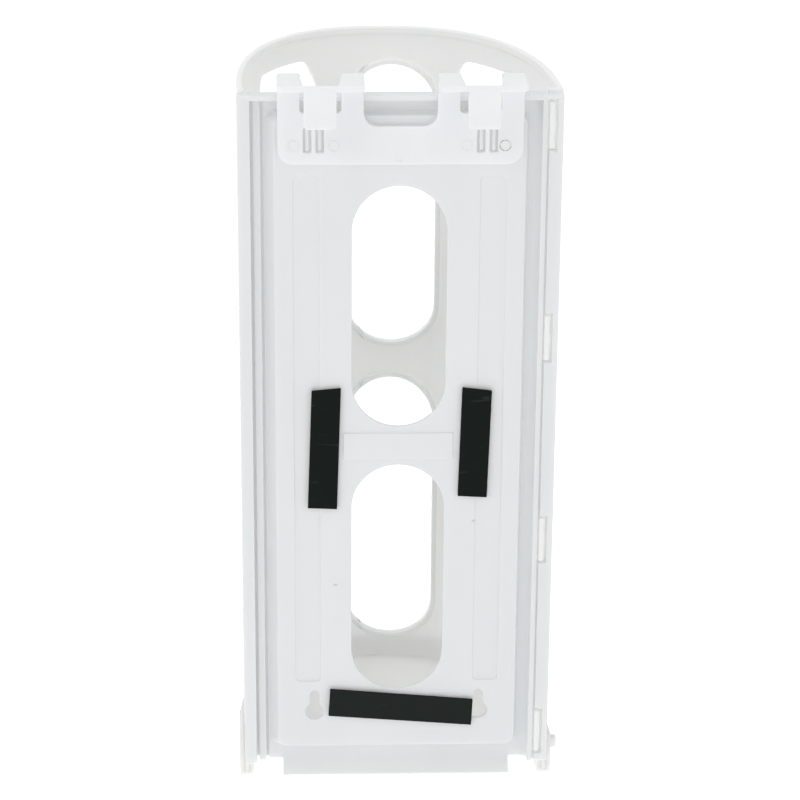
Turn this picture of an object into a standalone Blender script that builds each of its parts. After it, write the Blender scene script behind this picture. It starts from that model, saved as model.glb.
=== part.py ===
"""Plastic-bag dispenser that hangs on a cabinet door or a wall.

A moulded back panel, a clip-on over-door hook plate, a half-round front shell, a clip-on base tray
and three adhesive strips. Units are metres. The wall is on the +Y side, the half-round front is on
the -Y side and +Z is up. The origin is the middle of the back panel's rib, on its wall-side face.
"Drop" is a distance measured down from the panel's top edge.
"""
import math

import bmesh
import bpy

MM = 0.001

# Fits
GAP = 0.3 * MM              # between pieces that touch
SLIDE_GAP = 0.4 * MM        # each side of a piece that slides into another

# Back panel
PANEL_WIDTH = 152.0 * MM
PANEL_HEIGHT = 347.5 * MM
SHEET_WALL = 1.6 * MM
RECESS_DEPTH = 5.75 * MM    # wall-side datum down to the recessed sheet
RAIL_HEIGHT = 2.5 * MM
FLANGE_DEPTH = 4.4 * MM
FLANGE_WIDTH = 6.0 * MM     # on the hinge side
GROOVE_WIDTH = 1.25 * MM
GROOVE_FLOOR = 8.4 * MM     # datum down to the floor of the two hinge-side grooves
RIB_WIDTH = 3.5 * MM
RIB_SINK = 3.5 * MM
BAND_EDGE = 9.8 * MM        # clip side: outer edge in to where the recess starts
CLIP_GROOVE_EDGE = 7.4 * MM
CLIP_GROOVE_WIDTH = 0.9 * MM
CLIP_GROOVE_DEPTH = 2.0 * MM
RECESS_FILLET = 3.9 * MM

# Raised mounting panel
RAISED_SINK = 0.6 * MM      # wall-side datum down to the raised face
RAISED_MARGIN = 17.0 * MM   # from the panel's side edges
RAISED_TOP = 9.7 * MM
RAISED_FOOT = 9.5 * MM      # up from the panel's bottom edge
RAISED_CORNER = 4.5 * MM
HINGE_SLOPE = 4.9 * MM
CLIP_SLOPE = 1.4 * MM
END_SLOPE = 1.2 * MM
RAISED_WALL = 1.9 * MM

# Hand slots, mid rib, pockets, keyholes, pad
SLOT_WIDTH = 45.0 * MM
SLOT_TOP = 43.9 * MM
SLOT_LAND = 20.1 * MM
SLOT_FOOT = 41.1 * MM
MID_RIB_WIDTH = 53.0 * MM
MID_RIB_HEIGHT = 13.4 * MM
POCKET_CENTRE = 44.05 * MM
POCKET_WIDTH = 12.5 * MM
POCKET_TOP = 38.8 * MM
POCKET_FOOT = 45.5 * MM
POCKET_DEPTH = 0.5 * MM
KEYHOLE_CENTRE = 40.9 * MM
KEYHOLE_FOOT = 28.8 * MM    # head centre, up from the bottom edge
KEYHOLE_HEAD = 4.6 * MM     # radius
KEYHOLE_SHANK = 2.3 * MM    # radius
KEYHOLE_RISE = 9.3 * MM     # head centre up to the shank's centre
PAD_WIDTH = 66.0 * MM
PAD_TOP_FOOT = 38.8 * MM
PAD_BOTTOM_FOOT = 18.0 * MM
PAD_RAISE = 0.3 * MM

# Bottom lip
LIP_MARGIN = 19.1 * MM
LIP_WALL = 2.0 * MM
LIP_RADIUS = 7.5 * MM
LIP_ANGLE = 45.0
LIP_START_FOOT = 4.0 * MM
LIP_STRAIGHT = 6.5 * MM

# Snap tongues and their slots
CLIP_COUNT = 4
CLIP_TOP = 14.5 * MM
CLIP_FOOT = 16.7 * MM
CLIP_SLOT_HEIGHT = 25.0 * MM
CLIP_SLOT_WIDTH = 4.2 * MM
CLIP_SLOT_EDGE = 2.8 * MM   # outer edge in to the slot
TONGUE_WIDTH = 2.5 * MM
TONGUE_HEIGHT = 22.6 * MM
TONGUE_NUB = 0.5 * MM
TONGUE_NUB_HEIGHT = 5.5 * MM

# Hook plate
HOOK_WIDTH = 114.6 * MM
HOOK_RISE = 11.0 * MM       # above the panel's top edge
HOOK_DROP = 32.5 * MM
HOOK_WALL = 2.2 * MM
HOOK_CORNER = 7.5 * MM
HOOK_NOTCH_WIDTH = 34.2 * MM
HOOK_NOTCH_DROP = 14.2 * MM
HOOK_NOTCH_CORNER = 6.5 * MM
DOOR_GAP = 19.5 * MM        # takes a 19 mm door
WINDOW_INNER = 27.5 * MM
WINDOW_OUTER = 46.8 * MM
WINDOW_TAPER = 1.6 * MM
WINDOW_DROP = 7.9 * MM
BEAK_WIDTH = 15.0 * MM      # the tongue that goes down behind the door
BEAK_CENTRE = 37.5 * MM
BEAK_STRAIGHT = 13.4 * MM
BEAK_LENGTH = 19.9 * MM
BEAK_FLARE = 1.4 * MM
BEAK_CORNER = 2.0 * MM
HOOK_LIP = 2.7 * MM
BEND_RADIUS = 1.2 * MM
PRONG_CENTRES = (37.5 * MM, 43.4 * MM)
PRONG_WIDTH = 1.7 * MM
PRONG_SLOT_WIDTH = 3.9 * MM
PRONG_SLOT_TOP = 14.8 * MM
PRONG_SLOT_DROP = 26.8 * MM

# Front shell
SHELL_DEPTH = 118.5 * MM
SHELL_POWER = 2.39          # exponent of the plan curve
SHELL_LEAN = 5.65 * MM      # the crown sits this far towards the hinge side
SHELL_WALL = 1.8 * MM
SHELL_OVERRUN = 6.9 * MM    # below the panel's bottom edge
SHELL_STEPS = 72
RIM_RISE = 2.0 * MM         # above the panel's top edge
RETURN_RISE = 0.8 * MM      # the same, for the flat returns at the rear
RIM_WALL = 3.2 * MM
RIM_HEIGHT = 3.4 * MM
RIM_ROUND = 0.5 * MM
RETURN_WALL = 2.2 * MM
HINGE_RETURN = 4.4 * MM
CLIP_RETURN = 7.4 * MM
FRONT_SLOT_WIDTH = 44.6 * MM
FRONT_SLOT_TOP = 17.0 * MM
FRONT_SLOT_LAND = 19.6 * MM
FRONT_SLOT_FOOT = 14.3 * MM
COLLAR_WIDTH = 2.4 * MM
COLLAR_DEPTH = 4.6 * MM
ARC_STEPS = 8

# Side finger holes: distance along the wall from its middle, drop, corner radius
SIDE_HOLE = (
    (43.0 * MM, 13.0 * MM, 6.0 * MM),
    (33.0 * MM, 34.0 * MM, 13.0 * MM),
    (45.0 * MM, 62.0 * MM, 15.0 * MM),
    (75.0 * MM, 62.0 * MM, 15.0 * MM),
    (86.0 * MM, 34.0 * MM, 13.0 * MM),
    (81.5 * MM, 13.0 * MM, 4.5 * MM),
)
SIDE_CUT = 12.0 * MM        # cutter's reach on each side of the wall

# Base tray
TRAY_WALL = 2.2 * MM
TRAY_FLOOR = 2.0 * MM
TRAY_FLOOR_RISE = 0.5 * MM  # floor's top above the panel's bottom edge
GUTTER_FLOOR = 1.9 * MM
SKIRT_HEIGHT = 21.0 * MM
LOBE_RISE = 14.0 * MM       # taller end of the skirt on the hinge side
LOBE_LENGTH = 4.0 * MM
TAB_REACH = 2.6 * MM
TAB_LENGTH = 5.0 * MM
TAB_HEIGHT = 5.0 * MM
TAB_FOOT = 14.0 * MM        # tab's underside above the gutter's underside

# Adhesive strips: corners as (X, rise), from the rib between the slots for the side pair and
# from the panel's bottom edge for the other
TAPE_THICKNESS = 1.4 * MM
SIDE_TAPES = {
    "tape_left": ((41.8, 29.15), (27.7, 30.45), (29.6, -32.55), (43.8, -31.95)),
    "tape_right": ((-30.6, 30.45), (-44.9, 28.75), (-43.3, -26.85), (-29.1, -26.05)),
}
BOTTOM_TAPE = ((33.1, 41.8), (-38.2, 35.4), (-37.6, 21.3), (34.0, 27.1))

# Worked out from the values above
HALF = PANEL_WIDTH / 2
SLOT_LENGTH = (PANEL_HEIGHT - SLOT_TOP - SLOT_LAND - SLOT_FOOT) / 2
TOP = SLOT_TOP + SLOT_LENGTH + SLOT_LAND / 2
BOTTOM = TOP - PANEL_HEIGHT
SHEET_FRONT = -RECESS_DEPTH - SHEET_WALL
PANEL_DEPTH = GROOVE_FLOOR + SHEET_WALL
SHELL_REAR = -FLANGE_DEPTH - GAP
SHELL_TOP = TOP + RIM_RISE
SHELL_BOTTOM = BOTTOM - SHELL_OVERRUN
GUTTER_TOP = SHELL_BOTTOM - SLIDE_GAP
GUTTER_BOTTOM = GUTTER_TOP - GUTTER_FLOOR
CLIP_PITCH = (PANEL_HEIGHT - CLIP_TOP - CLIP_FOOT) / (CLIP_COUNT - 1)
CLIP_LEVELS = [TOP - CLIP_TOP - CLIP_PITCH * index for index in range(CLIP_COUNT)]
PLATE_FRONT = GAP
PLATE_REAR = PLATE_FRONT + HOOK_WALL
BEAK_FRONT = PLATE_REAR + DOOR_GAP
BEAK_REAR = BEAK_FRONT + HOOK_WALL


def clear_scene():
    for item in list(bpy.data.objects):
        bpy.data.objects.remove(item)


def plastic(name, colour, roughness):
    surface = bpy.data.materials.new(name)
    surface.use_nodes = True
    shader = surface.node_tree.nodes["Principled BSDF"]
    shader.inputs["Base Color"].default_value = (*colour, 1.0)
    shader.inputs["Roughness"].default_value = roughness
    shader.inputs["Metallic"].default_value = 0.0
    return surface


def loft(name, rings):
    """Closed body through rings of the same number of points, flat at both ends."""
    body = bmesh.new()
    levels = [[body.verts.new(point) for point in ring] for ring in rings]
    count = len(rings[0])
    for low, high in zip(levels, levels[1:]):
        for index in range(count):
            after = (index + 1) % count
            body.faces.new((low[index], low[after], high[after], high[index]))
    body.faces.new(levels[0])
    body.faces.new(levels[-1])
    bmesh.ops.recalc_face_normals(body, faces=body.faces[:])
    mesh = bpy.data.meshes.new(name)
    body.to_mesh(mesh)
    body.free()
    item = bpy.data.objects.new(name, mesh)
    bpy.context.collection.objects.link(item)
    return item


def prism(name, outline, axis, low, high):
    """Extrude a closed 2D outline along X, Y or Z; the outline keeps the other two axes in order."""
    place = {
        "X": lambda a, b, level: (level, a, b),
        "Y": lambda a, b, level: (a, level, b),
        "Z": lambda a, b, level: (a, b, level),
    }[axis]
    return loft(name, [[place(a, b, level) for a, b in outline] for level in (low, high)])


def block(name, x_range, y_range, z_range):
    (x0, x1), (y0, y1) = x_range, y_range
    return prism(name, [(x0, y0), (x1, y0), (x1, y1), (x0, y1)], "Z", *z_range)


def combine(target, tool, operation):
    """Apply a Boolean of the tool to the target's own mesh, then delete the tool."""
    boolean = target.modifiers.new(operation, "BOOLEAN")
    boolean.operation = operation
    boolean.solver = "EXACT"
    boolean.object = tool
    graph = bpy.context.evaluated_depsgraph_get()
    result = bpy.data.meshes.new_from_object(target.evaluated_get(graph))
    target.modifiers.remove(boolean)
    target.data = result
    bpy.data.objects.remove(tool)


def join(target, tool):
    combine(target, tool, "UNION")


def cut(target, tool):
    combine(target, tool, "DIFFERENCE")


def finish(item, surface):
    """Give the piece its one material and smooth its rounded faces."""
    item.data.name = item.name
    item.data.materials.clear()
    item.data.materials.append(surface)
    item.data.shade_smooth()
    item.data.set_sharp_from_angle(angle=math.radians(30))
    return item


def arc(centre, radius, start, end, steps=ARC_STEPS):
    """Points on an arc between two angles in degrees."""
    angles = [math.radians(start + (end - start) * step / steps) for step in range(steps + 1)]
    return [(centre[0] + radius * math.cos(a), centre[1] + radius * math.sin(a)) for a in angles]


def rounded(corners, steps=5):
    """Closed outline through (a, b, radius) corners, each corner with a radius drawn as an arc."""
    outline = []
    for index, (a, b, radius) in enumerate(corners):
        if radius == 0:
            outline.append((a, b))
            continue
        before, after = corners[index - 1], corners[(index + 1) % len(corners)]
        back = (before[0] - a, before[1] - b)
        ahead = (after[0] - a, after[1] - b)
        back_length, ahead_length = math.hypot(*back), math.hypot(*ahead)
        back = (back[0] / back_length, back[1] / back_length)
        ahead = (ahead[0] / ahead_length, ahead[1] / ahead_length)
        opening = math.acos(back[0] * ahead[0] + back[1] * ahead[1])
        reach = radius / math.tan(opening / 2)
        middle = (back[0] + ahead[0], back[1] + ahead[1])
        scale = radius / math.sin(opening / 2) / math.hypot(*middle)
        centre = (a + middle[0] * scale, b + middle[1] * scale)
        first = math.atan2(b + back[1] * reach - centre[1], a + back[0] * reach - centre[0])
        last = math.atan2(b + ahead[1] * reach - centre[1], a + ahead[0] * reach - centre[0])
        sweep = (last - first + math.pi) % (2 * math.pi) - math.pi
        outline += arc(centre, radius, math.degrees(first), math.degrees(first + sweep), steps)
    return outline


def rounded_box(left, right, low, high, radius, steps=5):
    corners = [(left, low, radius), (right, low, radius), (right, high, radius), (left, high, radius)]
    return rounded(corners, steps)


def stadium(centre, width, low, high, steps=24):
    """Upright slot outline with half-round ends."""
    radius = width / 2
    top = arc((centre, high - radius), radius, 0, 180, steps)
    return top + arc((centre, low + radius), radius, 180, 360, steps)


def shell_curve(offset, start_depth=0.0, steps=SHELL_STEPS):
    """Plan curve of the shell grown by offset, from the hinge side (+X) round to the clip side."""
    width, depth = HALF + offset, SHELL_DEPTH + offset
    first = math.asin((start_depth / depth) ** (SHELL_POWER / 2))
    points = []
    for step in range(steps + 1):
        angle = first + (math.pi - 2 * first) * step / steps
        across, along = math.cos(angle), max(math.sin(angle), 0.0)
        forward = along ** (2 / SHELL_POWER)
        side = math.copysign(abs(across) ** (2 / SHELL_POWER), across)
        points.append((width * side + SHELL_LEAN * forward, SHELL_REAR - depth * forward))
    return points


def shell_body(name, inner_offset, outer_offset, low, high):
    """Filled half-round ring between two offsets of the plan curve."""
    outline = shell_curve(outer_offset) + shell_curve(inner_offset)[::-1]
    return prism(name, outline, "Z", low, high)


def half_round(name, offset, low, high):
    """Solid half-round block."""
    return prism(name, shell_curve(offset), "Z", low, high)


def panel_section():
    """Plan outline of the back panel below its top rail, without the raised panel."""
    flange = HALF - FLANGE_WIDTH
    rib_outer = flange - GROOVE_WIDTH
    rib_inner = rib_outer - RIB_WIDTH
    slope_foot = rib_inner - GROOVE_WIDTH
    backing = HALF - HINGE_RETURN - SLIDE_GAP
    band = HALF - BAND_EDGE
    groove = HALF - CLIP_GROOVE_EDGE
    block_edge = HALF - CLIP_RETURN - SLIDE_GAP
    hinge_side = [
        (HALF, 0.0), (flange, 0.0), (flange, -GROOVE_FLOOR), (rib_outer, -GROOVE_FLOOR),
        (rib_outer, -RIB_SINK), (rib_inner, -RIB_SINK), (rib_inner, -GROOVE_FLOOR),
        (slope_foot, -GROOVE_FLOOR), (slope_foot, -RECESS_DEPTH),
    ]
    rise = arc((-band + RECESS_FILLET, -RECESS_DEPTH + RECESS_FILLET), RECESS_FILLET, 270, 180, 6)
    clip_side = rise + [
        (-band, 0.0), (-groove, 0.0), (-groove, -CLIP_GROOVE_DEPTH),
        (-groove - CLIP_GROOVE_WIDTH, -CLIP_GROOVE_DEPTH), (-groove - CLIP_GROOVE_WIDTH, 0.0),
        (-HALF, 0.0), (-HALF, -FLANGE_DEPTH), (-block_edge, -FLANGE_DEPTH), (-block_edge, SHEET_FRONT),
    ]
    front = [
        (slope_foot - SHEET_WALL, SHEET_FRONT), (slope_foot - SHEET_WALL, -PANEL_DEPTH),
        (backing, -PANEL_DEPTH), (backing, -FLANGE_DEPTH), (HALF, -FLANGE_DEPTH),
    ]
    return hinge_side + clip_side + front


def raised_ring(level, grow_hinge, grow_clip, grow_end):
    """Rounded rectangle of the raised panel at one depth, as points on the plane Y = level."""
    half = HALF - RAISED_MARGIN
    outline = rounded_box(-half - grow_clip, half + grow_hinge, BOTTOM + RAISED_FOOT - grow_end,
                          TOP - RAISED_TOP + grow_end, RAISED_CORNER)
    return [(x, level, z) for x, z in outline]


def lip_outline():
    """Side profile of the flared bottom lip, as (Y, Z)."""
    centre = (-RECESS_DEPTH + LIP_RADIUS, BOTTOM + LIP_START_FOOT)
    rear = arc(centre, LIP_RADIUS, 180, 180 + LIP_ANGLE, 6)
    front = arc(centre, LIP_RADIUS + LIP_WALL, 180 + LIP_ANGLE, 180, 6)
    turn = math.radians(LIP_ANGLE)
    step = (LIP_STRAIGHT * math.sin(turn), -LIP_STRAIGHT * math.cos(turn))
    tip_rear = (rear[-1][0] + step[0], rear[-1][1] + step[1])
    tip_front = (front[0][0] + step[0], front[0][1] + step[1])
    return [(rear[0][0], rear[0][1] + LIP_WALL)] + rear + [tip_rear, tip_front] + front + [
        (front[-1][0], front[-1][1] + LIP_WALL)]


def build_back_panel(surface):
    panel = prism("back_panel", panel_section(), "Z", BOTTOM, TOP - RAIL_HEIGHT / 2)
    block_edge = HALF - CLIP_RETURN - SLIDE_GAP
    backing = HALF - HINGE_RETURN - SLIDE_GAP
    join(panel, block("rail", (-HALF, HALF), (-FLANGE_DEPTH, 0.0), (TOP - RAIL_HEIGHT, TOP)))
    join(panel, block("rail_web", (-block_edge, backing), (SHEET_FRONT, -FLANGE_DEPTH / 2),
                      (TOP - RAIL_HEIGHT, TOP)))

    outside = [raised_ring(-RECESS_DEPTH - SHEET_WALL / 2, HINGE_SLOPE, CLIP_SLOPE, END_SLOPE),
               raised_ring(-RAISED_SINK, 0.0, 0.0, 0.0)]
    inside = [raised_ring(SHEET_FRONT - GAP, HINGE_SLOPE - RAISED_WALL, CLIP_SLOPE - RAISED_WALL,
                          END_SLOPE - RAISED_WALL),
              raised_ring(-RAISED_SINK - RAISED_WALL, -RAISED_WALL, -RAISED_WALL, -RAISED_WALL)]
    join(panel, loft("raised_outside", outside))
    cut(panel, loft("raised_inside", inside))

    half_rib = MID_RIB_HEIGHT / 2
    seat = -RAISED_SINK - RAISED_WALL / 2
    join(panel, block("mid_rib", (-MID_RIB_WIDTH / 2, MID_RIB_WIDTH / 2), (seat, 0.0),
                      (-half_rib, half_rib)))
    pad = rounded_box(-PAD_WIDTH / 2, PAD_WIDTH / 2, BOTTOM + PAD_BOTTOM_FOOT,
                      BOTTOM + PAD_TOP_FOOT, 3 * MM)
    join(panel, prism("pad", pad, "Y", seat, -RAISED_SINK + PAD_RAISE))
    half_lip = HALF - LIP_MARGIN
    join(panel, prism("lip", lip_outline(), "X", -half_lip, half_lip))

    for top in (TOP - SLOT_TOP, TOP - SLOT_TOP - SLOT_LENGTH - SLOT_LAND):
        opening = stadium(0.0, SLOT_WIDTH, top - SLOT_LENGTH, top)
        cut(panel, prism("hand_slot", opening, "Y", 2 * SHEET_FRONT, RAISED_SINK))
    for side in (-1, 1):
        middle = side * POCKET_CENTRE
        pocket = rounded_box(middle - POCKET_WIDTH / 2, middle + POCKET_WIDTH / 2,
                             BOTTOM + POCKET_FOOT, TOP - POCKET_TOP, 2.5 * MM)
        cut(panel, prism("pocket", pocket, "Y", -RAISED_SINK - POCKET_DEPTH, RAISED_SINK))
        cut(panel, keyhole(side * KEYHOLE_CENTRE))
    slot_outer = -HALF + CLIP_SLOT_EDGE
    for level in CLIP_LEVELS:
        cut(panel, block("clip_slot", (slot_outer, slot_outer + CLIP_SLOT_WIDTH),
                         (-2 * FLANGE_DEPTH, FLANGE_DEPTH),
                         (level - CLIP_SLOT_HEIGHT / 2, level + CLIP_SLOT_HEIGHT / 2)))
    for side in (-1, 1):
        for middle in PRONG_CENTRES:
            join(panel, prong(side * middle))
    return finish(panel, surface)


def keyhole(middle):
    """Cutter for a keyhole: round head below, narrow shank slot above it."""
    level = BOTTOM + KEYHOLE_FOOT
    half_angle = math.degrees(math.asin(KEYHOLE_SHANK / KEYHOLE_HEAD))
    head = arc((middle, level), KEYHOLE_HEAD, 90 + half_angle, 450 - half_angle, 20)
    shank = arc((middle, level + KEYHOLE_RISE), KEYHOLE_SHANK, 0, 180)
    return prism("keyhole", head + shank, "Y", 2 * SHEET_FRONT, RAISED_SINK)


def prong(middle):
    """Snap prong that stands up through one of the hook plate's small slots."""
    low = TOP - PRONG_SLOT_DROP + SLIDE_GAP
    high = TOP - PRONG_SLOT_TOP - SLIDE_GAP
    seat = -RAISED_SINK - RAISED_WALL / 2
    tip = PLATE_REAR - GAP
    profile = [(seat, low), (tip - 1.2 * MM, low), (tip, low + 1.2 * MM), (tip, high), (seat, high)]
    return prism("prong", profile, "X", middle - PRONG_WIDTH / 2, middle + PRONG_WIDTH / 2)


def beak_outline():
    """Side profile of the shelf and the beak that goes down behind the door, as (Y, Z)."""
    top = TOP + HOOK_RISE
    under = top - HOOK_WALL
    knee, tip = top - BEAK_STRAIGHT, top - BEAK_LENGTH
    corner = arc((BEAK_REAR - BEND_RADIUS, top - BEND_RADIUS), BEND_RADIUS, 90, 0, 4)
    return [(PLATE_FRONT, top)] + corner + [
        (BEAK_REAR, knee), (BEAK_REAR + BEAK_FLARE, tip), (BEAK_FRONT + BEAK_FLARE, tip),
        (BEAK_FRONT, knee), (BEAK_FRONT, under), (PLATE_FRONT, under)]


def shelf_outline():
    """Side profile of the shelf with its short front lip, as (Y, Z)."""
    top = TOP + HOOK_RISE
    under = top - HOOK_WALL
    corner = arc((BEAK_REAR - BEND_RADIUS, top - BEND_RADIUS), BEND_RADIUS, 90, 0, 4)
    return [(PLATE_FRONT, top)] + corner + [
        (BEAK_REAR, top - HOOK_LIP), (BEAK_FRONT, top - HOOK_LIP), (BEAK_FRONT, under),
        (PLATE_FRONT, under)]


def hook_part(name, profile, left, right, low, radius):
    """Side profile extruded between left and right, with its two lower corners rounded."""
    item = prism(name, profile, "X", left, right)
    high = TOP + 2 * HOOK_RISE
    front = rounded([(left, low, radius), (right, low, radius), (right, high, 0), (left, high, 0)])
    combine(item, prism(name + "_front", front, "Y", -PLATE_REAR, 2 * BEAK_REAR), "INTERSECT")
    return item


def build_hook_plate(surface):
    half, notch = HOOK_WIDTH / 2, HOOK_NOTCH_WIDTH / 2
    top, low, notch_floor = TOP + HOOK_RISE, TOP - HOOK_DROP, TOP - HOOK_NOTCH_DROP
    outline = rounded([
        (half, low, HOOK_CORNER), (half, top, 0), (notch, top, 0),
        (notch, notch_floor, HOOK_NOTCH_CORNER), (-notch, notch_floor, HOOK_NOTCH_CORNER),
        (-notch, top, 0), (-half, top, 0), (-half, low, HOOK_CORNER)])
    plate = prism("hook_plate", outline, "Y", PLATE_FRONT, PLATE_REAR)
    for side in (-1, 1):
        left, right = sorted((side * notch, side * half))
        join(plate, hook_part("shelf", shelf_outline(), left, right, top - HOOK_LIP, BEAK_CORNER))
        far = (side * WINDOW_INNER, side * WINDOW_OUTER)
        near = (side * (WINDOW_INNER + WINDOW_TAPER), side * (WINDOW_OUTER - WINDOW_TAPER))
        opening = [(far[0], PLATE_REAR), (far[1], PLATE_REAR), (near[1], BEAK_FRONT),
                   (near[0], BEAK_FRONT)]
        cut(plate, prism("shelf_gap", opening, "Z", TOP, TOP + 2 * HOOK_RISE))
        window = rounded([
            (far[0], TOP + 2 * HOOK_RISE, 0), (far[1], TOP + 2 * HOOK_RISE, 0),
            (far[1], TOP - WINDOW_DROP, 2 * MM), (far[0], TOP - WINDOW_DROP, 2 * MM)])
        cut(plate, prism("window", window, "Y", -PLATE_REAR, PLATE_REAR + GAP))
        left = side * BEAK_CENTRE - BEAK_WIDTH / 2
        join(plate, hook_part("beak", beak_piece(), left, left + BEAK_WIDTH,
                              top - BEAK_LENGTH, BEAK_CORNER))
        for centre in PRONG_CENTRES:
            hole = rounded_box(side * centre - PRONG_SLOT_WIDTH / 2,
                               side * centre + PRONG_SLOT_WIDTH / 2,
                               TOP - PRONG_SLOT_DROP, TOP - PRONG_SLOT_TOP, 0.8 * MM, 3)
            cut(plate, prism("prong_slot", hole, "Y", -PLATE_REAR, 2 * PLATE_REAR))
    return finish(plate, surface)


def beak_piece():
    """The beak alone: the part of its profile behind the door."""
    return [(y, z) for y, z in beak_outline() if y > PLATE_FRONT] + [(BEAK_FRONT, TOP + HOOK_RISE)]


def shell_ring(level, rim_wall, trim):
    """Section of the shell at one height: outer curve, clip return, inner curve, hinge return."""
    half = HALF - trim
    outer = shell_curve(-trim)
    inner = shell_curve(-rim_wall, RETURN_WALL)[::-1]
    clip_edge = (-half + CLIP_RETURN - trim, HALF - HINGE_RETURN + trim)
    clip = [(clip_edge[0], SHELL_REAR), (clip_edge[0], SHELL_REAR - RETURN_WALL)]
    hinge = [(clip_edge[1], SHELL_REAR - RETURN_WALL), (clip_edge[1], SHELL_REAR)]
    return [(x, y, level) for x, y in outer + clip + inner + hinge]


def wall_point(curve, lengths, distance, depth):
    """Point at a distance along the wall from its middle, moved outwards by depth."""
    target = lengths[-1] / 2 + distance
    index = next(i for i in range(1, len(lengths)) if lengths[i] >= target)
    share = (target - lengths[index - 1]) / (lengths[index] - lengths[index - 1])
    (x0, y0), (x1, y1) = curve[index - 1], curve[index]
    run = math.hypot(x1 - x0, y1 - y0)
    normal = ((y1 - y0) / run, (x0 - x1) / run)
    return (x0 + (x1 - x0) * share - normal[0] * depth, y0 + (y1 - y0) * share - normal[1] * depth)


def side_hole(side):
    """Cutter for a finger hole in the shell's side, square to the curved wall."""
    curve = shell_curve(0.0, steps=400)
    lengths = [0.0]
    for (x0, y0), (x1, y1) in zip(curve, curve[1:]):
        lengths.append(lengths[-1] + math.hypot(x1 - x0, y1 - y0))
    outline = rounded([(side * s, TOP - drop, radius) for s, drop, radius in SIDE_HOLE])
    rings = []
    for depth in (-SIDE_CUT, SIDE_CUT):
        ring = []
        for distance, level in outline:
            x, y = wall_point(curve, lengths, distance, depth)
            ring.append((x, y, level))
        rings.append(ring)
    return loft("side_hole", rings)


def build_front_shell(surface):
    rings = [
        shell_ring(SHELL_BOTTOM, SHELL_WALL, 0.0),
        shell_ring(SHELL_TOP - RIM_HEIGHT - (RIM_WALL - SHELL_WALL), SHELL_WALL, 0.0),
        shell_ring(SHELL_TOP - RIM_HEIGHT, RIM_WALL, 0.0),
        shell_ring(SHELL_TOP - RIM_ROUND, RIM_WALL, 0.0),
        shell_ring(SHELL_TOP, RIM_WALL - RIM_ROUND, RIM_ROUND),
    ]
    shell = loft("front_shell", rings)
    slot_length = (PANEL_HEIGHT - FRONT_SLOT_TOP - FRONT_SLOT_LAND - FRONT_SLOT_FOOT) / 2
    near, far = SHELL_REAR - SHELL_DEPTH * 0.8, SHELL_REAR - SHELL_DEPTH * 1.1
    for index in range(2):
        top = TOP - FRONT_SLOT_TOP - index * (slot_length + FRONT_SLOT_LAND)
        collar = shell_body("collar", -COLLAR_DEPTH, -SHELL_WALL / 2, top - slot_length - 9 * MM,
                            top + 9 * MM)
        shape = stadium(0.0, FRONT_SLOT_WIDTH + 2 * COLLAR_WIDTH, top - slot_length - COLLAR_WIDTH,
                        top + COLLAR_WIDTH)
        combine(collar, prism("collar_shape", shape, "Y", far, near), "INTERSECT")
        join(shell, collar)
        cut(shell, prism("front_slot", stadium(0.0, FRONT_SLOT_WIDTH, top - slot_length, top),
                         "Y", far, near))
    for side in (-1, 1):
        cut(shell, side_hole(side))

    tongue_inner = -HALF + CLIP_SLOT_EDGE + CLIP_SLOT_WIDTH - SLIDE_GAP
    tongue_outer = tongue_inner - TONGUE_WIDTH
    root = SHELL_REAR - RETURN_WALL / 2
    for level in CLIP_LEVELS:
        join(shell, block("tongue", (tongue_outer, tongue_inner), (root, 0.0),
                          (level - TONGUE_HEIGHT / 2, level + TONGUE_HEIGHT / 2)))
        join(shell, block("nub", (tongue_outer - TONGUE_NUB, tongue_outer + TONGUE_NUB),
                          (-FLANGE_DEPTH / 2, -GAP),
                          (level - TONGUE_NUB_HEIGHT / 2, level + TONGUE_NUB_HEIGHT / 2)))
    inside = HALF - SHELL_WALL - GAP
    across_return = (SHELL_REAR - 2 * RETURN_WALL, SHELL_REAR + RETURN_WALL)
    cut(shell, block("return_relief", (-inside, inside), across_return,
                     (SHELL_BOTTOM - GAP, BOTTOM + TRAY_FLOOR_RISE + GAP)))
    inside = HALF - RIM_WALL
    cut(shell, block("return_step", (-inside, inside), (across_return[0] / 2, across_return[1]),
                     (TOP + RETURN_RISE, SHELL_TOP + GAP)))
    return finish(shell, surface)


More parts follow.
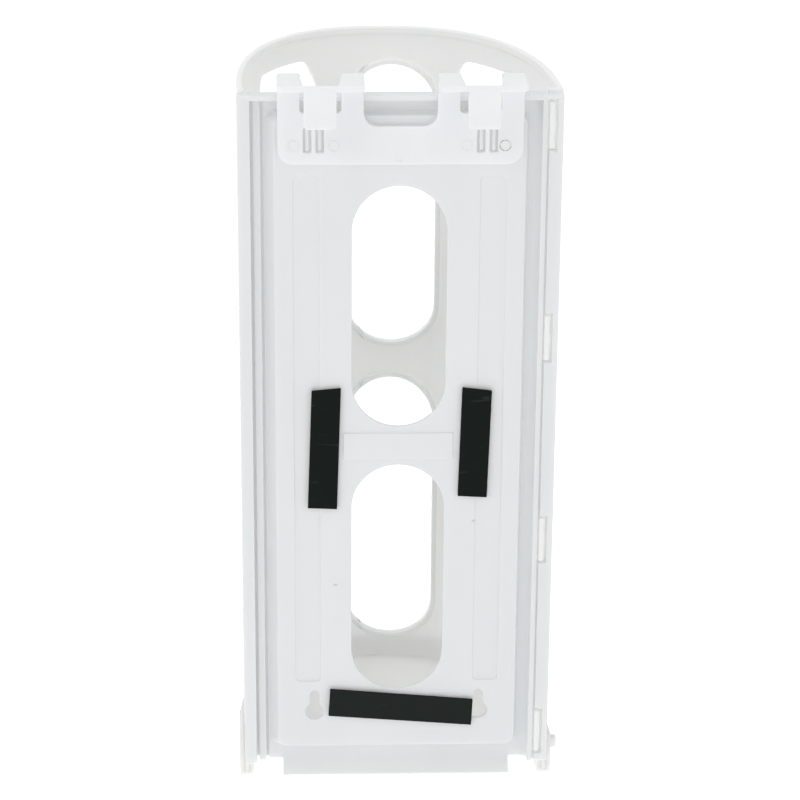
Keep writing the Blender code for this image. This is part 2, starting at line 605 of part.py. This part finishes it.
def build_base_tray(surface):
    rear = SHELL_REAR - GAP
    outer = SLIDE_GAP + TRAY_WALL
    inner = -SHELL_WALL - SLIDE_GAP
    floor_top = BOTTOM + TRAY_FLOOR_RISE
    skirt_top = GUTTER_BOTTOM + SKIRT_HEIGHT
    lobe_top = skirt_top + LOBE_RISE
    tray = half_round("base_tray", outer, GUTTER_BOTTOM, lobe_top)
    trim = [(rear - LOBE_LENGTH, lobe_top + GAP), (rear - LOBE_LENGTH, lobe_top),
            (rear - LOBE_LENGTH - LOBE_RISE, skirt_top),
            (rear - 2 * SHELL_DEPTH, skirt_top), (rear - 2 * SHELL_DEPTH, lobe_top + GAP)]
    cut(tray, prism("skirt_trim", trim, "X", -PANEL_WIDTH, PANEL_WIDTH))
    cut(tray, block("clip_side_trim", (-PANEL_WIDTH, 0.0), (-2 * SHELL_DEPTH, 0.0),
                    (skirt_top, lobe_top + GAP)))
    cut(tray, half_round("bin", SLIDE_GAP, floor_top, lobe_top + GAP))
    cut(tray, shell_body("gutter", inner, SLIDE_GAP, GUTTER_TOP, floor_top + GAP))
    cut(tray, half_round("under_floor", inner - TRAY_WALL, GUTTER_BOTTOM - GAP,
                         floor_top - TRAY_FLOOR))
    cut(tray, block("rear_trim", (-PANEL_WIDTH, PANEL_WIDTH), (rear, 0.0),
                    (GUTTER_BOTTOM - GAP, lobe_top + GAP)))
    clear = max(HALF + inner - TRAY_WALL, HALF - HINGE_RETURN) - GAP / 2
    cut(tray, block("panel_clearance", (-clear, clear), (-PANEL_DEPTH - 2 * GAP, 0.0),
                    (GUTTER_BOTTOM - GAP, lobe_top + GAP)))
    tab_low = GUTTER_BOTTOM + TAB_FOOT
    face = -HALF - outer
    join(tray, block("tab", (face - TAB_REACH, face + TRAY_WALL / 2), (rear - TAB_LENGTH, rear),
                     (tab_low, tab_low + TAB_HEIGHT)))
    return finish(tray, surface)


def build_tape(name, corners, level, raised, surface):
    """Adhesive strip with slightly skewed ends, just clear of the face it is stuck to."""
    outline = [(x * MM, level + rise * MM) for x, rise in corners]
    seat = -RAISED_SINK + GAP + raised
    return finish(prism(name, outline, "Y", seat, seat + TAPE_THICKNESS), surface)


def main():
    clear_scene()
    white = plastic("white_polypropylene", (0.82, 0.83, 0.82), 0.38)
    black = plastic("black_adhesive_strip", (0.012, 0.02, 0.016), 0.45)
    build_back_panel(white)
    build_hook_plate(white)
    hinge = bpy.data.objects.new("shell_hinge_axis", None)
    hinge.location = (HALF, SHELL_REAR + GAP / 2, 0.0)
    bpy.context.collection.objects.link(hinge)
    for piece in (build_front_shell(white), build_base_tray(white)):
        piece.parent = hinge
        piece.matrix_parent_inverse = hinge.matrix_basis.inverted()
    for name, corners in SIDE_TAPES.items():
        build_tape(name, corners, 0.0, 0.0, black)
    build_tape("tape_bottom", BOTTOM_TAPE, BOTTOM, PAD_RAISE, black)


main()
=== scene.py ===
"""Looks of a white moulded plastic-bag dispenser seen from its wall side.

Every moulding starts as a copy of its solid, is merged into clean faces and gets the rounded edges
that a mould leaves. The small marks of the mould are modelled on top. Lengths are in metres, and
angles are in degrees until they are used.
"""
import math

import bmesh
import bpy
from mathutils import Matrix, Vector


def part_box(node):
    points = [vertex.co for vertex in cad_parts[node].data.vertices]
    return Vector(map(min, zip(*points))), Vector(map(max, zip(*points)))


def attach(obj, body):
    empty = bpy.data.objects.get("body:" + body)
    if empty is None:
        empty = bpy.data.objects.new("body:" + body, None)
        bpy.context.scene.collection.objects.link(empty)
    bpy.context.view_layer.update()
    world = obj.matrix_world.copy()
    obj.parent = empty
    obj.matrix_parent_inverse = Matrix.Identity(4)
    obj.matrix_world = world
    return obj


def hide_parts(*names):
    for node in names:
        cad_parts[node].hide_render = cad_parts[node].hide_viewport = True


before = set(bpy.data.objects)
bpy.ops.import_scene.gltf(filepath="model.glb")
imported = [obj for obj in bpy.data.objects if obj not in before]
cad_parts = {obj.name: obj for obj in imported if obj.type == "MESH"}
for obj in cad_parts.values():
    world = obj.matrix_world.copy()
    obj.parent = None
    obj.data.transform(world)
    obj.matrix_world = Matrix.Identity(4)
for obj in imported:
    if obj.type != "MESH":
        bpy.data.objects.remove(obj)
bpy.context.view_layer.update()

MM = 0.001
PANEL_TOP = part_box("back_panel")[1].z
TRAY_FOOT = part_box("base_tray")[0].z

# Clean copies
MERGE = 0.1 * MM
HOOK_MERGE = 0.01 * MM         # the hook plate has finer steps to keep
DISSOLVE_TURN = 0.4

# Rounded edges
EDGE_ROUND = 0.4 * MM
HOOK_ROUND = 0.3 * MM
STRIP_ROUND = 0.25 * MM
ROUND_STEPS = 3
SHARP_TURN = 30.0              # an edge that turns more than this is rounded
SMOOTH_TURN = 40.0             # an edge that turns less than this is shaded smooth
FACET_TURNS = (0.1, 4.0)       # between the flat facets of a curved wall
PLACES = (0.04, 0.5, 0.96)     # where along an edge its room is measured
FLAT = 0.000001                # a reach below this is the edge itself
SHARED = 0.48                  # part of the room to take when the next edge is rounded too
ALONE = 0.9                    # part of the room to take when it isn't
LEAN = 0.6                     # a corner's edge that leans inward by this part limits the room
LEAST_SHARE = 0.04             # the thinnest rounding, as a part of the full one
FULL_SHARE = 0.95              # a rounding above this part isn't crowded
PARALLEL = 0.97
CROWDING = 1.2                 # in widths of the rounding

# Mould marks
HOOK_FACE = 2.5 * MM           # the wall side of the hook plate
STRIP_GAP = 0.3 * MM
RAISED_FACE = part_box("tape_left")[0].y - STRIP_GAP
SINK = 0.05 * MM               # how far a mark starts below its face
SOFTNESS = 0.3                 # a mark's rounding, as a part of its height
PIN_Z = PANEL_TOP - 23.3 * MM
PIN_RADIUS = 2.7 * MM
PIN_LINE = 0.28 * MM
PIN_FAINT, PIN_CLEAR = 0.05 * MM, 0.08 * MM
GATE_X, GATE_Z = 0.3 * MM, PANEL_TOP - 29.6 * MM
GATE_RADIUS, GATE_LINE, GATE_RELIEF = 1.5 * MM, 0.35 * MM, 0.15 * MM
NUB_RADIUS, NUB_HEIGHT = 0.8 * MM, 0.4 * MM
NUB_TOP = 0.6                  # its top, as a part of its foot

# Floor, light and camera
FLOOR_SIZE = 12.0
FLOOR_DROP = 0.036             # the holder hangs, so its tray has room to come down
FLOOR_GLOW = 0.45
SOFTBOXES = (                  # name, place, what it faces, size, power
    ("key", (0.7, 1.0, 1.1), (0.0, 0.0, 0.06), 0.8, 1.6),
    ("over", (0.1, 0.0, 1.5), (0.0, -0.05, 0.0), 1.0, 4.5),
    ("behind", (0.9, -1.1, 0.7), (0.0, -0.06, 0.0), 0.7, 0.5),
    ("inside", (0.0, -0.03, -0.150), (0.0, -0.116, -0.144), 0.04, 0.0080),
)
ROOM_LIGHT = 0.68
BOUNCES = 12                   # white walls pass light on many times
ELEVATION, TURN, ROLL = 21.5, 2.2, 0.43
TARGET = Vector((-0.0007, 0.0, 0.02405))
DISTANCE = 1.429
LENS, SENSOR = 133.8, 36.0


# ---------------------------------------------------------------- shader maths

class Wire:
    """A socket that takes part in Python arithmetic by adding Math nodes."""

    def __init__(self, paint, socket):
        self.paint = paint
        self.socket = socket

    def maths(self, operation, first, second):
        return self.paint.node("ShaderNodeMath", {"operation": operation}, {0: first, 1: second})

    def __add__(self, other):
        return self.maths("ADD", self, other)

    def __radd__(self, other):
        return self.maths("ADD", other, self)

    def __sub__(self, other):
        return self.maths("SUBTRACT", self, other)

    def __rsub__(self, other):
        return self.maths("SUBTRACT", other, self)

    def __mul__(self, other):
        return self.maths("MULTIPLY", self, other)

    def __rmul__(self, other):
        return self.maths("MULTIPLY", other, self)


class Paint:
    """One node material: a Principled shader and the nodes that vary it."""

    def __init__(self, name, **constants):
        self.material = bpy.data.materials.new(name)
        self.material.use_nodes = True
        self.tree = self.material.node_tree
        self.shader = self.tree.nodes["Principled BSDF"]
        for socket, value in constants.items():
            self.shader.inputs[socket.replace("_", " ")].default_value = value

    def node(self, kind, settings=None, values=None, output=0):
        item = self.tree.nodes.new(kind)
        for name, setting in (settings or {}).items():
            setattr(item, name, setting)
        for key, value in (values or {}).items():
            if isinstance(value, Wire):
                self.tree.links.new(value.socket, item.inputs[key])
            else:
                item.inputs[key].default_value = value
        return Wire(self, item.outputs[output])

    def noise(self, size, detail, stretch=(1.0, 1.0, 1.0)):
        where = self.node("ShaderNodeTexCoord", output="Object")
        place = self.node("ShaderNodeMapping", None, {"Vector": where, "Scale": stretch})
        values = {"Vector": place, "Scale": 1.0 / size, "Detail": detail}
        return self.node("ShaderNodeTexNoise", None, values)

    def blend(self, share, first, second):
        return self.node("ShaderNodeMix", {"data_type": "RGBA"},
                         {"Factor": share, 6: first, 7: second}, output=2)

    def span(self, value, low, high):
        """A smooth rise from 0 to 1 as the value goes from low to high."""
        return self.node("ShaderNodeMapRange", {"interpolation_type": "SMOOTHSTEP"},
                         {"Value": value, "From Min": low, "From Max": high})

    def bump(self, height, distance, strength, under=None):
        values = {"Height": height, "Distance": distance, "Strength": strength}
        if under is not None:
            values["Normal"] = under
        return self.node("ShaderNodeBump", None, values)

    def feed(self, **links):
        for socket, wire in links.items():
            self.tree.links.new(wire.socket, self.shader.inputs[socket.replace("_", " ")])
        return self.material


def moulded_white(name, colour, shade, roughness, glow=0.5):
    """Satin polypropylene: faint cloudy flow, fine mould texture and a little handling dust.

    The thin walls pass light on. A painted glow, a weak emission that grows where ambient
    occlusion finds a narrow crevice, lightens the crevices.
    """
    # Emission_Strength sets the strength of a painted glow that lightens the crevices
    paint = Paint(name, Specular_IOR_Level=0.40, IOR=1.49, Subsurface_Weight=glow,
                  Subsurface_Radius=(1.0, 0.95, 0.85), Subsurface_Scale=0.006,
                  Emission_Strength=0.095)
    flow = paint.noise(0.060, 3.0, (1.0, 1.0, 0.35))
    dust = paint.noise(0.0035, 4.0)
    base = paint.blend(paint.span(flow, 0.35, 0.7), (*colour, 1.0), (*shade, 1.0))
    specks = 0.06 * paint.span(dust, 0.66, 0.78)
    base = paint.blend(specks, base, (0.55, 0.53, 0.50, 1.0))
    gloss = (roughness - 0.04) + 0.10 * paint.span(paint.noise(0.018, 3.0), 0.3, 0.7)
    grain = paint.noise(0.00055, 2.0)
    waves = paint.noise(0.014, 1.0)
    normal = paint.bump(grain, 0.00003, 0.35, paint.bump(waves, 0.00012, 0.35))
    # painted glow: an emission colour that is brightest in narrow crevices, where shade would fall
    open_sky = paint.node("ShaderNodeAmbientOcclusion", {"samples": 6}, {"Distance": 0.010}, 1)
    crevice = 1.0 - paint.span(open_sky, 0.0, 0.60)
    painted_crevice_glow = paint.blend(crevice, (0.0, 0.0, 0.0, 1.0), (1.0, 0.95, 0.88, 1.0))
    return paint.feed(Base_Color=base, Roughness=gloss, Normal=normal, Emission_Color=painted_crevice_glow)


def foam_black(name, sheen_lift=0.0):
    """Black foam tape with a satin skin, fine cells and a few pale rubs; the amount added to its
    colour lightens it as a painted sheen.
    """
    paint = Paint(name, Specular_IOR_Level=0.10)
    cloud = paint.span(paint.noise(0.012, 3.0), 0.3, 0.7)
    base = paint.blend(cloud,
                       (0.0030 + sheen_lift, 0.0062 + sheen_lift, 0.0046 + sheen_lift, 1.0),
                       (0.0048 + sheen_lift, 0.0090 + sheen_lift, 0.0072 + sheen_lift, 1.0))
    rub = paint.noise(0.006, 3.0, (0.35, 1.0, 2.4))
    base = paint.blend(0.35 * paint.span(rub, 0.66, 0.74), base, (0.045, 0.055, 0.052, 1.0))
    gloss = 0.52 + 0.14 * cloud
    normal = paint.bump(paint.noise(0.0005, 2.0), 0.00006, 0.5)
    return paint.feed(Base_Color=base, Roughness=gloss, Normal=normal)


def worn_line(name):
    """The worn, slightly brown line of a clear pin mark."""
    paint = Paint(name, Roughness=0.5, Specular_IOR_Level=0.3)
    wear = paint.span(paint.noise(0.0016, 2.0), 0.42, 0.62)
    line = paint.blend(wear, (0.68, 0.68, 0.67, 1.0), (0.30, 0.25, 0.20, 1.0))
    return paint.feed(Base_Color=line)


# ---------------------------------------------------------------- mesh helpers

def deselect():
    """Leave edit mode and select nothing."""
    if bpy.context.object and bpy.context.object.mode != "OBJECT":
        bpy.ops.object.mode_set(mode="OBJECT")
    bpy.ops.object.select_all(action="DESELECT")


def activate(item):
    """Select only this piece."""
    deselect()
    item.select_set(True)
    bpy.context.view_layer.objects.active = item


def clean_copy(node, name, reach=MERGE):
    """A copy of a solid, merged and with its flat faces made whole again."""
    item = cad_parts[node].copy()
    item.data = item.data.copy()
    item.name = item.data.name = name
    item.parent = None
    item.matrix_world = Matrix.Identity(4)
    bpy.context.collection.objects.link(item)
    activate(item)
    item.data.materials.clear()
    bpy.ops.object.mode_set(mode="EDIT")
    bpy.ops.mesh.select_all(action="SELECT")
    bpy.ops.mesh.remove_doubles(threshold=reach)
    bpy.ops.mesh.dissolve_limited(angle_limit=math.radians(DISSOLVE_TURN))
    bpy.ops.object.mode_set(mode="OBJECT")
    return item


def room_beside(edge, face, sharp):
    """How far a rounding can reach over a face before it meets the next edge."""
    start = edge.verts[0].co
    along = (edge.verts[1].co - start).normalized()
    inward = face.normal.cross(along)
    loop = next(corner for corner in face.loops if corner.edge == edge)
    if (loop.link_loop_next.vert.co - loop.vert.co).dot(along) < 0.0:
        inward = -inward
    room = 1.0
    for share in PLACES:
        foot = start + along * (edge.calc_length() * share)
        for other in face.edges:
            touching = any(corner in edge.verts for corner in other.verts)
            if other == edge or touching and share != 0.5:
                continue
            first, second = (corner.co - foot for corner in other.verts)
            left, right = first.dot(along), second.dot(along)
            if (left > 0.0) == (right > 0.0):
                continue
            low, high = first.dot(inward), second.dot(inward)
            reach = low + (high - low) * left / (left - right)
            if reach > FLAT:
                room = min(room, reach * (SHARED if other.index in sharp else ALONE))
    for corner in edge.verts:
        for other in corner.link_edges:
            if other == edge or other not in face.edges[:]:
                continue
            reach = abs((other.other_vert(corner).co - corner.co).dot(inward))
            if reach > LEAN * other.calc_length():
                room = min(room, reach * (SHARED if other.index in sharp else ALONE))
    return room


def crowding_lines(mesh, sharp, share, width):
    """Facet lines that run so close beside a sharp edge that they would spoil its rounding."""
    least, most = (math.radians(turn) for turn in FACET_TURNS)
    found = []
    for line in mesh.edges:
        if line.index in sharp or not line.is_manifold:
            continue
        if not least < line.calc_face_angle() < most:
            continue
        along = (line.verts[1].co - line.verts[0].co).normalized()
        for other in {edge for face in line.link_faces for edge in face.edges}:
            if share.get(other.index, 1.0) > FULL_SHARE:
                continue
            if any(corner in line.verts for corner in other.verts):
                continue
            beside = (other.verts[1].co - other.verts[0].co).normalized()
            gap = other.verts[0].co - line.verts[0].co
            apart = (gap - along * gap.dot(along)).length
            if abs(along.dot(beside)) > PARALLEL and apart < CROWDING * width:
                found.append(line)
                break
    return found


def mark_roundings(item, width):
    """Give every sharp edge the share of the rounding that it has room for.

    Crowding lines are cleared at most twice, and the shares are then worked out once more.
    """
    mesh = bmesh.new()
    mesh.from_mesh(item.data)
    for may_clear in (True, True, False):
        mesh.normal_update()
        mesh.edges.index_update()
        sharp = {edge.index for edge in mesh.edges
                 if edge.is_manifold and edge.calc_face_angle() > math.radians(SHARP_TURN)}
        share = {}
        for edge in mesh.edges:
            if edge.index in sharp:
                room = min(room_beside(edge, face, sharp) for face in edge.link_faces)
                share[edge.index] = max(LEAST_SHARE, min(1.0, room / width))
        lines = crowding_lines(mesh, sharp, share, width) if may_clear else []
        if not lines:
            break
        bmesh.ops.dissolve_edges(mesh, edges=lines, use_verts=True)
    mesh.to_mesh(item.data)
    mesh.free()
    marks = item.data.attributes.new("bevel_weight_edge", "FLOAT", "EDGE")
    for index, value in share.items():
        marks.data[index].value = value


def round_edges(item, width, by_room=True):
    """Round every sharp edge, as the mould does, by its room or everywhere by the full width."""
    if by_room:
        mark_roundings(item, width)
    activate(item)
    bevel = item.modifiers.new("rounding", "BEVEL")
    bevel.limit_method = "WEIGHT" if by_room else "ANGLE"
    bevel.angle_limit = math.radians(SHARP_TURN)
    bevel.width = width
    bevel.segments = ROUND_STEPS
    bevel.use_clamp_overlap = False
    bpy.ops.object.modifier_apply(modifier=bevel.name)
    bpy.ops.object.shade_smooth_by_angle(angle=math.radians(SMOOTH_TURN))
    even = item.modifiers.new("even_shading", "WEIGHTED_NORMAL")
    even.mode = "FACE_AREA"
    even.weight = 90
    even.keep_sharp = True
    bpy.ops.object.modifier_apply(modifier=even.name)
    return item


def dress(item, material, body, slot, *nodes):
    """Paint a piece, tie it to its body and let it stand for the solids it shows."""
    item.data.materials.clear()
    item.data.materials.append(material)
    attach(item, body)
    if nodes:
        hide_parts(*nodes)


# ---------------------------------------------------------------- pieces

WHITE = "white_polypropylene"
BLACK = "black_adhesive_strip"
# One white plastic in four colours: the panel and tray whites are set darker as painted shade, and
# the shell white lighter as painted light for its shaded inside
panel_white_shaded = moulded_white("panel_white_shaded", (0.772, 0.790, 0.798), (0.755, 0.774, 0.785), 0.42)
hook_white = moulded_white("hook_white", (0.860, 0.880, 0.888), (0.840, 0.860, 0.872), 0.40)
shell_white_lightened = moulded_white("shell_white_lightened", (0.925, 0.928, 0.920), (0.910, 0.914, 0.908), 0.40, 0.8)
tray_white_shaded = moulded_white("tray_white_shaded", (0.800, 0.802, 0.800), (0.785, 0.789, 0.788), 0.42, 0.7)
strip_black = foam_black("strip_black")
# the bottom strip's black is painted a little lighter, as a painted sheen
strip_painted_sheen = foam_black("strip_painted_sheen", 0.007)
pin_brown = worn_line("pin_brown")

panel = round_edges(clean_copy("back_panel", "panel_moulding"), EDGE_ROUND)
dress(panel, panel_white_shaded, "panel", WHITE, "back_panel")
hook = clean_copy("hook_plate", "hook_moulding", HOOK_MERGE)
round_edges(hook, HOOK_ROUND, by_room=False)
dress(hook, hook_white, "hook", WHITE, "hook_plate")
shell = round_edges(clean_copy("front_shell", "shell_moulding"), EDGE_ROUND)
dress(shell, shell_white_lightened, "shell", WHITE, "front_shell")
tray = round_edges(clean_copy("base_tray", "tray_moulding"), EDGE_ROUND)
dress(tray, tray_white_shaded, "tray", WHITE, "base_tray")
for side in ("left", "right", "bottom"):
    strip = round_edges(clean_copy("tape_" + side, "strip_" + side), STRIP_ROUND)
    # the bottom strip gets the lighter black with the painted sheen
    dress(strip, strip_painted_sheen if side == "bottom" else strip_black, "panel", BLACK, "tape_" + side)


# ---------------------------------------------------------------- mould marks

def start_disc(name, x, y, z, radius, corners):
    """A flat disc a little below a face, left in edit mode with everything selected."""
    deselect()
    bpy.ops.mesh.primitive_circle_add(vertices=corners, radius=radius, fill_type="NGON",
                                      location=(x, y - SINK, z),
                                      rotation=(math.radians(-90), 0.0, 0.0))
    item = bpy.context.object
    item.name = item.data.name = name
    bpy.ops.object.transform_apply(location=True, rotation=True, scale=True)
    bpy.ops.object.mode_set(mode="EDIT")
    bpy.ops.mesh.select_all(action="SELECT")
    return item


def raise_mark(height):
    """Pull what is selected up through its face."""
    bpy.ops.mesh.extrude_region_move(
        TRANSFORM_OT_translate={"value": (0.0, SINK + height, 0.0)})


def finish_mark(item, height):
    """Turn a mark's faces outward and soften its edges."""
    bpy.ops.mesh.select_all(action="SELECT")
    bpy.ops.mesh.normals_make_consistent(inside=False)
    bpy.ops.object.mode_set(mode="OBJECT")
    bevel = item.modifiers.new("soft", "BEVEL")
    bevel.width = SOFTNESS * height
    bevel.segments = 2
    bpy.ops.object.modifier_apply(modifier=bevel.name)
    bpy.ops.object.shade_smooth_by_angle(angle=math.radians(SMOOTH_TURN))
    return item


def pin_ring(name, x, z, radius, line, relief):
    """The faint round outline that an ejector pin leaves on the hook plate."""
    ring = start_disc(name, x, HOOK_FACE, z, radius, 48)
    bpy.ops.mesh.inset(thickness=line)
    bpy.ops.mesh.delete(type="FACE")
    bpy.ops.mesh.select_all(action="SELECT")
    raise_mark(relief)
    return finish_mark(ring, relief)


def half_ring(item, z):
    """Keep only the lower half of a ring, with its cut ends closed."""
    activate(item)
    bpy.ops.object.mode_set(mode="EDIT")
    bpy.ops.mesh.select_all(action="SELECT")
    bpy.ops.mesh.bisect(plane_co=(0.0, 0.0, z), plane_no=(0.0, 0.0, 1.0), use_fill=True,
                        clear_outer=True)
    bpy.ops.object.mode_set(mode="OBJECT")
    return item


def panel_nub(name, x, z):
    """A small blunt lump left on the panel by a vent."""
    lump = start_disc(name, x, RAISED_FACE, z, NUB_RADIUS, 24)
    raise_mark(NUB_HEIGHT)
    bpy.ops.transform.resize(value=(NUB_TOP, 1.0, NUB_TOP),
                             center_override=(x, RAISED_FACE + NUB_HEIGHT, z))
    return finish_mark(lump, NUB_HEIGHT)


for label, x, material, relief in (("pin_mark_a", 49.8, hook_white, PIN_FAINT),
                                   ("pin_mark_b", 31.0, hook_white, PIN_FAINT),
                                   ("pin_mark_c", -31.0, hook_white, PIN_FAINT),
                                   ("pin_mark_d", -48.8, pin_brown, PIN_CLEAR)):
    ring = pin_ring(label, x * MM, PIN_Z, PIN_RADIUS, PIN_LINE, relief)
    dress(ring, material, "hook", WHITE)
gate = pin_ring("gate_mark", GATE_X, GATE_Z, GATE_RADIUS, GATE_LINE, GATE_RELIEF)
dress(half_ring(gate, GATE_Z), hook_white, "hook", WHITE)
for label, x, drop in (("panel_nub_left", 30.4, 249.1), ("panel_nub_right", -37.2, 215.2)):
    dress(panel_nub(label, x * MM, PANEL_TOP - drop * MM), panel_white_shaded, "panel", WHITE)


# ---------------------------------------------------------------- floor, light and camera

def plain_floor():
    deselect()
    bpy.ops.mesh.primitive_plane_add(size=FLOOR_SIZE,
                                     location=(0.0, -1.0, TRAY_FOOT - FLOOR_DROP))
    floor = bpy.context.object
    floor.name = "floor"
    paint = Paint("floor_white", Base_Color=(0.92, 0.92, 0.92, 1.0), Roughness=0.9,
                  Emission_Color=(1.0, 1.0, 1.0, 1.0), Emission_Strength=FLOOR_GLOW)
    floor.data.materials.append(paint.material)


def softbox(name, location, target, size, power):
    light = bpy.data.lights.new(name, "AREA")
    light.shape = "DISK"
    light.size = size
    light.energy = power
    item = bpy.data.objects.new(name, light)
    bpy.context.collection.objects.link(item)
    item.location = location
    aim = Vector(target) - Vector(location)
    item.rotation_euler = aim.to_track_quat("-Z", "Y").to_euler()


def studio():
    plain_floor()
    for row in SOFTBOXES:
        softbox(*row)
    bpy.data.objects["inside"].visible_camera = False
    world = bpy.data.worlds.new("studio")
    world.use_nodes = True
    background = world.node_tree.nodes["Background"]
    background.inputs["Color"].default_value = (1.0, 1.0, 1.0, 1.0)
    background.inputs["Strength"].default_value = ROOM_LIGHT
    scene = bpy.context.scene
    scene.world = world
    scene.view_settings.view_transform = "Standard"
    scene.cycles.diffuse_bounces = BOUNCES


def wall_side_camera():
    elevation, turn, roll = (math.radians(angle) for angle in (ELEVATION, TURN, ROLL))
    out = Vector((math.sin(turn) * math.cos(elevation), math.cos(turn) * math.cos(elevation),
                  math.sin(elevation)))
    data = bpy.data.cameras.new("camera")
    data.sensor_width = SENSOR
    data.lens = LENS
    data.clip_start = 0.05
    item = bpy.data.objects.new("camera", data)
    bpy.context.collection.objects.link(item)
    turned = out.to_track_quat("Z", "Y").to_matrix() @ Matrix.Rotation(roll, 3, "Z")
    item.matrix_world = Matrix.Translation(TARGET + out * DISTANCE) @ turned.to_4x4()
    bpy.context.scene.camera = item


studio()
wall_side_camera()
